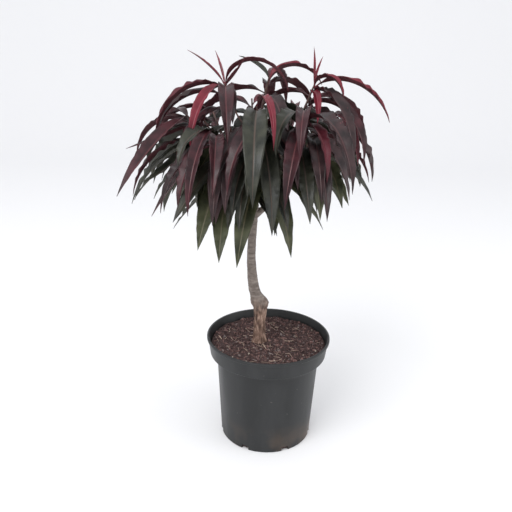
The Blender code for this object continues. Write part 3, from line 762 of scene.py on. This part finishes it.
def tree_leaves(grown, materials):
    """Fine leaves of every mass, one piece for each mass."""
    for shoot, leaves in grown.items():
        draw = random.Random(SHOOTS[shoot][5] + 500)
        corners, faces, slots, places, first = [], [], [], [], 0
        for leaf in leaves:
            leaf["phase"] = draw.uniform(0, math.tau)
            leaf["waves"] = leaf["length"] / draw.uniform(0.016, 0.026)
            leaf["ruffle"] = draw.uniform(0.4, 1.3)
            leaf["twist"] = draw.uniform(-0.35, 0.35)
            leaf["sway"] = draw.uniform(-1, 1) * TIP_SWAY * min(1, leaf["length"] / 0.12)
            blade_corners, blade_quads, sides, blade_places = blade_mesh(leaf)
            upper, under = leaf_slots(leaf, draw)
            corners.append(blade_corners)
            faces.append(blade_quads + first)
            slots.append(np.where(sides == 0, upper, under))
            places.append(blade_places)
            first += len(blade_corners)
        made = mesh_object(
            f"leaves_{shoot}",
            np.concatenate(corners).tolist(),
            np.concatenate(faces).tolist(),
            materials,
            np.concatenate(slots),
            places=np.concatenate(places),
        )
        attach(made, "root")
        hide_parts(f"foliage_{shoot}")


def joined(shapes):
    """Several (corners, faces) as one."""
    corners, faces = [], []
    for shape_corners, shape_faces in shapes:
        first = len(corners)
        corners += [tuple(c) for c in shape_corners]
        faces += [tuple(k + first for k in face) for face in shape_faces]
    return corners, faces


def noded_limb(curve, radius_at, rings, sides, seed):
    """A shoot with swollen leaf nodes and a little relief, along a quadratic curve."""
    length = (curve[2] - curve[0]).length * 1.05

    def noded(place):
        beat = (place * length / NODE_SPACING) % 1.0
        return radius_at(place) * (1 + NODE_SWELL * math.exp(-(((beat - 0.5) / NODE_REACH) ** 2)))

    corners, faces = tapered(curve, noded, rings, sides)
    for k, corner in enumerate(corners):
        centre = bezier(curve, k // sides / (rings - 1))
        wobble = 1 + 0.06 * noise.noise(corner * 420 + Vector((seed, 0, 0)))
        corners[k] = centre + (corner - centre) * wobble
    return corners, faces


def tree_twigs(materials):
    """The green and red stems and side twigs inside each mass."""
    shapes = []
    for shoot, (*_, seed) in SHOOTS.items():
        stem = stem_curve(shoot)
        shapes.append(noded_limb(stem, stem_radius, FINE_STEM_RINGS, FINE_STEM_SIDES, seed))
        for twig in twigs_of(shoot):
            shapes.append(noded_limb(twig, twig_radius, FINE_TWIG_RINGS, FINE_TWIG_SIDES, seed))
    made = mesh_object("twigs", *joined(shapes), materials)
    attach(made, "root")
    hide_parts(*(f"foliage_{shoot}" for shoot in SHOOTS))


def bark_relief(place, radius):
    """Height of the bark at a place: lengthwise furrows, level lenticels and small lumps."""
    furrow = noise.noise(Vector((place.x * 260, place.y * 260, place.z * 60)))
    lump = noise.noise(place * 700) * 0.5
    band = noise.noise(Vector((place.x * 60, place.y * 60, place.z * 420)))
    return BARK_RELIEF * (furrow + lump + 0.7 * max(0, band)) * min(1.0, radius / 0.008)


def bark_trunk():
    """The trunk's bark, rough below the graft, from just under the compost to its head."""
    foot, head = TRUNK_BENDS[0][0] - 0.004, TRUNK_BENDS[-1][0]
    corners = []
    for i in range(BARK_RINGS + 1):
        height = foot + (head - foot) * i / BARK_RINGS
        centre = trunk_centre(max(height, TRUNK_BENDS[0][0]))
        centre.z = height
        rough = ROUGH_FOOT if height < GRAFT_HEIGHT else 1.0
        for k in range(BARK_SIDES):
            angle = math.tau * k / BARK_SIDES
            outward = heading(angle)
            radius = trunk_radius(max(height, SOIL_LEVEL), angle)
            place = centre + outward * radius
            corners.append(place + outward * bark_relief(place, radius) * rough)
    last = BARK_RINGS * BARK_SIDES
    faces = tube_faces(BARK_RINGS + 1, BARK_SIDES)[:-1]
    crown = len(corners)
    corners.append(trunk_centre(head) + Vector((0, 0, 0.005)))
    faces += [(last + k, last + (k + 1) % BARK_SIDES, crown) for k in range(BARK_SIDES)]
    return corners, faces


def bark_limbs(materials):
    """Trunk and boughs with the bark's relief; each bough grows out of the trunk with a collar."""

    def collared(place):
        return bough_radius(place) * (1 + COLLAR_SWELL * math.exp(-((place / COLLAR_REACH) ** 2)))

    shapes = [bark_trunk()]
    for shoot in SHOOTS:
        curve = bough_curve(shoot)
        corners, faces = tapered(curve, collared, FINE_BOUGH_RINGS, FINE_BOUGH_SIDES)
        for k, corner in enumerate(corners):
            centre = bezier(curve, k // FINE_BOUGH_SIDES / (FINE_BOUGH_RINGS - 1))
            corners[k] = corner + (corner - centre).normalized() * bark_relief(corner, 0.005)
        shapes.append((corners, faces))
    made = mesh_object("bark", *joined(shapes), materials)
    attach(made, "root")
    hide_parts("trunk", *(f"bough_{shoot}" for shoot in SHOOTS))


def arc(centre, radius, first, last, count):
    """Outline points of a round edge, as (radius, height)."""
    points = []
    for k in range(count + 1):
        angle = math.radians(first + (last - first) * k / count)
        points.append((centre[0] + radius * math.cos(angle), centre[1] + radius * math.sin(angle)))
    return points


def pot_outline():
    """The pot's section as (radius, height), out from its underside, up and back down inside."""
    band_foot = POT_HEIGHT - BAND_HEIGHT
    lip_foot = POT_HEIGHT - LIP_HEIGHT
    inner_lip = LIP_RADIUS - POT_WALL
    outline = [(0, 0), (BASE_RADIUS - 0.012, 0)]
    outline += arc((BASE_RADIUS - 0.002, 0.002), 0.002, -90, 0, 5)
    for k in range(13):
        radius = BASE_RADIUS + (BODY_TOP_RADIUS - BASE_RADIUS) * k / 12
        outline.append((radius, 0.004 + (band_foot - 0.0045) * k / 12))
    outline.append((BODY_TOP_RADIUS + 0.0004, band_foot - 0.0002))
    outline.append((BODY_TOP_RADIUS + 0.001, band_foot))
    outline += arc((BAND_RADIUS - 0.0013, band_foot + 0.0013), 0.0013, -90, 0, 5)
    outline += [(LIP_RADIUS - 0.0024, lip_foot - 0.0004), (LIP_RADIUS - 0.0016, lip_foot)]
    outline += arc((LIP_RADIUS - 0.0011, lip_foot + 0.0011), 0.0011, -90, 0, 4)
    outline += arc((LIP_RADIUS - 0.0014, POT_HEIGHT - 0.0014), 0.0014, 0, 90, 5)
    outline += [
        (inner_lip - 0.0012, POT_HEIGHT),
        (inner_lip - 0.0018, POT_HEIGHT - 0.0008),
        (BAND_RADIUS - POT_WALL, band_foot + POT_WALL + 0.0012),
        (BODY_TOP_RADIUS - POT_WALL, band_foot + POT_WALL),
        (BASE_RADIUS - POT_WALL, POT_FLOOR),
        (0, POT_FLOOR),
    ]
    return outline


def fine_pot(finish):
    """The moulded pot: rounded foot, lip and band edges, drain holes cut through the foot."""
    corners, faces = turned(pot_outline(), FINE_POT_SIDES)
    pot = mesh_object("pot_shell", [tuple(c) for c in corners], faces, [finish])
    turn_out(pot)
    drains = []
    for k in range(DRAIN_COUNT):
        angle = math.radians(DRAIN_FIRST_ANGLE) + math.tau * k / DRAIN_COUNT
        box_corners, box_faces = box_shape(DRAIN_LENGTH, DRAIN_WIDTH, DRAIN_HEIGHT * 2)
        place = Matrix.Rotation(angle, 4, "Z") @ Matrix.Translation((BASE_RADIUS, 0, 0))
        drains.append(([place @ c for c in box_corners], box_faces))
    cutter = mesh_object("drain_cutter", *joined(drains), [finish], smooth=False)
    turn_out(cutter)
    cut = pot.modifiers.new("drains", "BOOLEAN")
    cut.operation = "DIFFERENCE"
    cut.object = cutter
    bpy.context.view_layer.update()
    graph = bpy.context.evaluated_depsgraph_get()
    finished = bpy.data.meshes.new_from_object(pot.evaluated_get(graph))
    pot.modifiers.clear()
    pot.data = finished
    bpy.data.objects.remove(cutter, do_unlink=True)
    pot.data.shade_smooth()
    pot.data.set_sharp_from_angle(angle=math.radians(50))
    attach(pot, "root")
    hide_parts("pot")


def turn_out(made):
    """Turns a mesh's faces outward."""
    work = bmesh.new()
    work.from_mesh(made.data)
    bmesh.ops.recalc_face_normals(work, faces=work.faces)
    work.to_mesh(made.data)
    work.free()


def soil_height(x, y):
    """The compost's lumpy top, with a low mound round the stem."""
    lumps = noise.noise(Vector((x * 38, y * 38, 0))) * 0.0022
    grains = noise.noise(Vector((x * 160, y * 160, 3))) * 0.0012
    foot = trunk_centre(TRUNK_BENDS[0][0])
    away = math.hypot(x - foot.x, y - foot.y)
    mound = 0.0022 * math.exp(-((away / 0.022) ** 2))
    return SOIL_LEVEL - 0.0016 + (lumps + grains) + mound


def chip_shape(draw, place, size):
    """One crumb of bark compost: a bent, flattened lump."""
    long = size * draw.uniform(0.7, 1.6)
    wide = size * draw.uniform(0.35, 0.8)
    thick = size * draw.uniform(0.18, 0.45)
    turn = Matrix.Rotation(draw.uniform(0, math.tau), 3, "Z")
    turn = turn @ Matrix.Rotation(draw.uniform(-0.6, 0.6), 3, "X")
    turn = turn @ Matrix.Rotation(draw.uniform(-0.5, 0.5), 3, "Y")
    corners = []
    for level, shrink in ((-0.5, 0.75), (0.5, 0.8)):
        for k in range(6):
            angle = math.tau * k / 6 + draw.uniform(-0.3, 0.3)
            reach = shrink * draw.uniform(0.75, 1.1) / 2
            x, y = math.cos(angle) * long * reach, math.sin(angle) * wide * reach
            corners.append(place + turn @ Vector((x, y, level * thick)))
    return corners, tube_faces(2, 6)


def place_in_disc(draw, radius):
    """An even random place within a radius of the pot's axis."""
    angle, reach = draw.uniform(0, math.tau), radius * math.sqrt(draw.random())
    return reach * math.cos(angle), reach * math.sin(angle)


def compost_top(materials):
    """The compost: a lumpy body filling the pot, and loose crumbs on top."""
    band_foot = POT_HEIGHT - BAND_HEIGHT
    top_radius = BAND_RADIUS - POT_WALL + 0.0002
    profile = [
        (0, POT_FLOOR + GAP),
        (BASE_RADIUS - POT_WALL - 0.0006, POT_FLOOR + GAP),
        (BODY_TOP_RADIUS - POT_WALL - 0.0004, band_foot + POT_WALL + GAP),
        (top_radius - 0.0008, band_foot + POT_WALL + 0.0014 + GAP),
    ]
    for k in range(FINE_SOIL_RINGS, -1, -1):
        profile.append((top_radius * k / FINE_SOIL_RINGS, SOIL_LEVEL))
    corners, faces = turned(profile, FINE_SOIL_SIDES)
    for corner in corners:
        if corner.z > SOIL_LEVEL - 0.0001:
            corner.z = soil_height(corner.x, corner.y)
    body = mesh_object("compost_body", [tuple(c) for c in corners], faces, [materials[0]])
    turn_out(body)
    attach(body, "root")
    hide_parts("compost")

    draw = random.Random(77)
    shapes, slots = [], []
    foot = trunk_centre(TRUNK_BENDS[0][0])
    while len(shapes) < CHIP_COUNT:
        x, y = place_in_disc(draw, top_radius * 0.975)
        if math.hypot(x - foot.x, y - foot.y) < CHIP_CLEAR_RADIUS:
            continue
        size = CHIP_SIZE * (0.35 + 0.9 * draw.random() ** 2)
        place = Vector((x, y, soil_height(x, y) + size * draw.uniform(0.0, 0.25)))
        shapes.append(chip_shape(draw, place, size))
        tone = draw.choices(range(len(materials)), weights=CHIP_SHARES)[0]
        slots += [tone] * len(shapes[-1][1])
    chips = mesh_object("compost_crumbs", *joined(shapes), materials, slots, smooth=False)
    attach(chips, "root")
    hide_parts("compost")


def stick_shape(x0, y0, x1, y1, lift, radius):
    """A thin stick that lies on the compost between two places, thickest in its middle."""
    start = Vector((x0, y0, soil_height(x0, y0) + lift[0]))
    end = Vector((x1, y1, soil_height(x1, y1) + lift[1]))
    middle = start.lerp(end, 0.5) + Vector((0, 0, radius * 0.7))
    return tapered((start, middle, end), lambda t: radius * (1 - 0.4 * abs(t * 2 - 1)), 9, 8)


def compost_fibres(materials):
    """Fine fibres and the pale splinters that lie on the compost."""
    draw = random.Random(31)
    shapes = [stick_shape(*ends, (0.0028, 0.0030), radius) for *ends, radius in SPLINTERS]
    for _ in range(FIBRE_COUNT):
        x, y = place_in_disc(draw, FIBRE_REACH)
        turn, length = draw.uniform(0, math.tau), draw.uniform(0.006, 0.018)
        far_x, far_y = x + math.cos(turn) * length, y + math.sin(turn) * length
        if math.hypot(far_x, far_y) <= FIBRE_REACH + 0.001:
            radius = draw.uniform(0.00025, 0.0005)
            shapes.append(stick_shape(x, y, far_x, far_y, (0.0018, 0.0022), radius))
    made = mesh_object("compost_fibres", *joined(shapes), materials)
    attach(made, "root")
    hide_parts("compost")


class Finish:
    """A Principled material and the nodes that give it its colours and fine relief."""

    def __init__(self, name, roughness):
        self.material = bpy.data.materials.new(name)
        self.material.use_nodes = True
        self.nodes = self.material.node_tree.nodes
        self.links = self.material.node_tree.links
        self.set("Roughness", roughness)

    def put(self, socket, value):
        """Fills an input with a link from another node, a colour, a vector or a number."""
        if hasattr(value, "links"):
            self.links.new(value, socket)
        else:
            socket.default_value = (*value, 1.0) if socket.type == "RGBA" else value

    def set(self, name, value):
        self.put(self.nodes["Principled BSDF"].inputs[name], value)

    def node(self, kind, **inputs):
        """A new shader node with the named inputs filled, _ standing for a space."""
        made = self.nodes.new(f"ShaderNode{kind}")
        for name, value in inputs.items():
            self.put(made.inputs[name.replace("_", " ")], value)
        return made

    def height(self):
        places = self.node("TexCoord").outputs["Object"]
        return self.node("SeparateXYZ", Vector=places).outputs["Z"]

    def blade_across(self):
        """0 at a blade's left edge, 1 at its right edge."""
        layer = self.node("UVMap")
        layer.uv_map = BLADE_PLACE
        return self.node("SeparateXYZ", Vector=layer.outputs["UV"]).outputs["X"]

    def noise(self, scale, detail, stretch=None):
        """Cloudy noise in the object, from 0 to 1."""
        places = self.node("TexCoord").outputs["Object"]
        if stretch:
            places = self.node("Mapping", Scale=stretch, Vector=places).outputs["Vector"]
        return self.node("TexNoise", Scale=scale, Detail=detail, Vector=places).outputs["Fac"]

    def ramp(self, source, *stops):
        """Colours or greys laid out along a source, each stop as (place, colour or grey)."""
        ramp = self.node("ValToRGB", Fac=source)
        elements = ramp.color_ramp.elements
        while len(elements) < len(stops):
            elements.new(0.5)
        for element, (place, colour) in zip(elements, stops):
            element.position = place
            element.color = (*(colour if isinstance(colour, tuple) else (colour,) * 3), 1.0)
        return ramp.outputs["Color"]

    def mix(self, factor, first, second):
        mix = self.node("Mix")
        mix.data_type = "RGBA"
        for index, value in ((0, factor), (6, first), (7, second)):
            self.put(mix.inputs[index], value)
        return mix.outputs[2]

    def sum_of(self, operation, *values):
        made = self.node("Math")
        made.operation = operation
        for socket, value in zip(made.inputs, values):
            self.put(socket, value)
        return made.outputs[0]

    def level(self, source, start, end):
        """0 where the source is at start, 1 where it is at end."""
        return self.node("MapRange", Value=source, From_Min=start, From_Max=end).outputs["Result"]

    def bump(self, height, strength, distance):
        made = self.node("Bump", Strength=strength, Distance=distance, Height=height)
        self.set("Normal", made.outputs["Normal"])


def leaf_material(name, dark, light, rib, roughness):
    """A leaf's face: two tones in soft patches, a midrib line and the fine grain of its veins."""
    leaf = Finish(name, roughness)
    leaf.set("Specular IOR Level", LEAF_GLOSS)
    patches = leaf.noise(46, 5)
    tone = leaf.ramp(patches, (0.34, dark), (0.68, light))
    away = leaf.sum_of("ABSOLUTE", leaf.sum_of("SUBTRACT", leaf.blade_across(), 0.5))
    midrib = leaf.ramp(away, (0.012, 1.0), (0.050, 0.0))
    leaf.set("Base Color", leaf.mix(midrib, tone, rib))
    rough = leaf.ramp(patches, (0.3, roughness - 0.06), (0.7, roughness + 0.10))
    leaf.set("Roughness", rough)
    leaf.bump(leaf.noise(520, 6), 0.35, 0.0006)
    return leaf.material


def bark_material():
    """Orange-brown, furrowed bark below the graft, smoother grey-brown bark above it."""
    bark = Finish("bark_mixed", 0.78)
    above_graft = bark.level(bark.height(), GRAFT_HEIGHT - 0.020, GRAFT_HEIGHT + 0.014)
    furrows = bark.noise(120, 8, (2.2, 2.2, 0.6))
    lower = bark.ramp(furrows, *zip((0.34, 0.52, 0.68), LOWER_BARK))
    upper = bark.ramp(bark.noise(90, 6, (1.0, 1.0, 2.6)), *zip((0.30, 0.52, 0.72), UPPER_BARK))
    bark.set("Base Color", bark.mix(above_graft, lower, upper))
    bark.bump(furrows, 0.6, 0.0015)
    return bark.material


def two_tone_material(name, roughness, dark, light, scale, detail, relief=None):
    """A dull finish of two tones in patches, with a relief of (strength, distance)."""
    finish = Finish(name, roughness)
    tone = finish.noise(scale, detail)
    finish.set("Base Color", finish.ramp(tone, dark, light))
    if relief:
        finish.bump(tone, *relief)
    return finish.material


def pot_material():
    """Black plastic with a dull sheen, pale scuffs, dust and dried brown soil near the foot."""
    pot = Finish("pot_black", 0.42)
    pot.set("Specular IOR Level", POT_GLOSS)
    scuffs = pot.noise(26, 8, (1.6, 1.6, 0.35))
    plastic = pot.ramp(scuffs, (0.40, POT_BLACK), (0.66, POT_SCUFFED))
    dots = pot.ramp(pot.noise(210, 3), (0.70, 0.0), (0.78, 1.0))
    dusty = pot.mix(dots, plastic, POT_DUST)
    near_foot = pot.level(pot.height(), 0.055, 0.0)
    smears = pot.ramp(pot.noise(16, 6), (0.46, 0.0), (0.70, 0.8))
    soiled = pot.sum_of("MULTIPLY", near_foot, smears)
    pot.set("Base Color", pot.mix(soiled, dusty, POT_SOIL))
    pot.set("Roughness", pot.ramp(scuffs, (0.35, 0.36), (0.70, 0.56)))
    pot.bump(pot.noise(900, 2), 0.12, 0.0004)
    return pot.material


def link_to_scene(made):
    bpy.context.scene.collection.objects.link(made)
    return made


def backdrop():
    """A plain pale floor that curves up behind."""
    outline = [(-4.0, 0.0), (2.4, 0.0)]
    for k in range(1, 25):
        angle = math.radians(90 * k / 24)
        outline.append((2.4 + 1.6 * math.sin(angle), 1.6 * (1 - math.cos(angle))))
    outline.append((4.0, 5.0))
    corners = [(x, y, z) for y, z in outline for x in (-6, 6)]
    faces = [(k * 2, k * 2 + 1, k * 2 + 3, k * 2 + 2) for k in range(len(outline) - 1)]
    pale = Finish("floor_pale", 0.9)
    pale.set("Base Color", FLOOR_COLOUR)
    floor = mesh_object("floor", corners, faces, [pale.material])


def studio():
    """The pale backdrop, soft lights and the photograph's camera."""
    backdrop()
    bpy.context.scene.view_settings.view_transform = "Standard"
    world = bpy.data.worlds.new("studio_air")
    world.use_nodes = True
    sky = world.node_tree.nodes["Background"]
    sky.inputs["Color"].default_value = (*SKY_COLOUR, 1.0)
    sky.inputs["Strength"].default_value = 1.0
    bpy.context.scene.world = world

    for name, place, size, power in LAMPS:
        lamp = bpy.data.lights.new(name, "AREA")
        lamp.size = size
        lamp.energy = power
        made = link_to_scene(bpy.data.objects.new(name, lamp))
        made.location = place
        aim = Vector(LAMP_TARGET) - Vector(place)
        made.rotation_euler = aim.to_track_quat("-Z", "Y").to_euler()

    lens = bpy.data.cameras.new("photo_camera")
    lens.sensor_fit = "HORIZONTAL"
    lens.angle = math.radians(CAMERA_VIEW)
    camera = link_to_scene(bpy.data.objects.new("photo_camera", lens))
    camera.matrix_world = (
        Matrix.Translation(CAMERA_PLACE)
        @ Matrix.Rotation(math.pi / 2 - math.radians(CAMERA_PITCH), 4, "X")
        @ Matrix.Rotation(math.radians(CAMERA_ROLL), 4, "Z")
    )
    bpy.context.scene.camera = camera


def main():
    leaf_finishes = [leaf_material(*tones) for tones in LEAF_TONES]
    crumb_finishes = []
    for name, dark, light in CRUMB_TONES:
        stops = (0.34, dark), (0.68, light)
        crumb_finishes.append(two_tone_material(name, 0.92, *stops, 260, 5, (0.7, 0.0012)))
    stops = (0.35, TWIG_DARK), (0.70, TWIG_LIGHT)
    twig_finish = two_tone_material("twig_red_brown", 0.50, *stops, 70, 4, (0.3, 0.0008))
    stops = (0.3, SPLINTER_DARK), (0.7, SPLINTER_LIGHT)
    splinter_finish = two_tone_material("splinter_pale", 0.80, *stops, 180, 4)

    tree_leaves(grow_leaves(), leaf_finishes)
    tree_twigs([twig_finish])
    bark_limbs([bark_material()])
    fine_pot(pot_material())
    compost_top(crumb_finishes)
    compost_fibres([splinter_finish])
    studio()


main()
